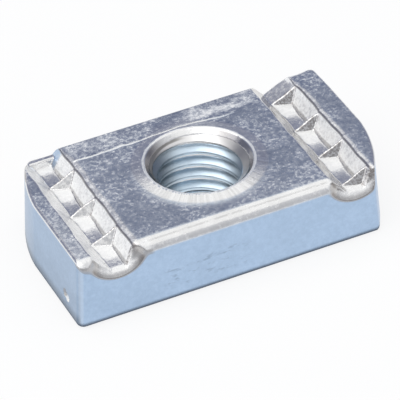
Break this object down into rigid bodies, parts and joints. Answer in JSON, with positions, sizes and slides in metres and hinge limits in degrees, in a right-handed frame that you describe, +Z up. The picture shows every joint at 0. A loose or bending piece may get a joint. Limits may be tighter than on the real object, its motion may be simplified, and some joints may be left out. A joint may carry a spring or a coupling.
{
  "type": "channel nut",
  "caption": "Oblong forged channel nut with a tapped through hole, toothed cross grooves for channel lips, and relieved corners that let it turn into place.",
  "frame": {"origin": "on the axis of the tapped hole, in the plane of the flat underside", "axes": "+X along the length (across the channel), +Y across the width, +Z up out of the toothed face along the hole"},
  "size_m": [0.0356, 0.0196, 0.008],
  "materials": {
    "zinc_plated_steel": "clear blue zinc plate on forged steel"
  },
  "bodies": {
    "root": {"channel_nut": "zinc_plated_steel"}
  },
  "joints": []
}
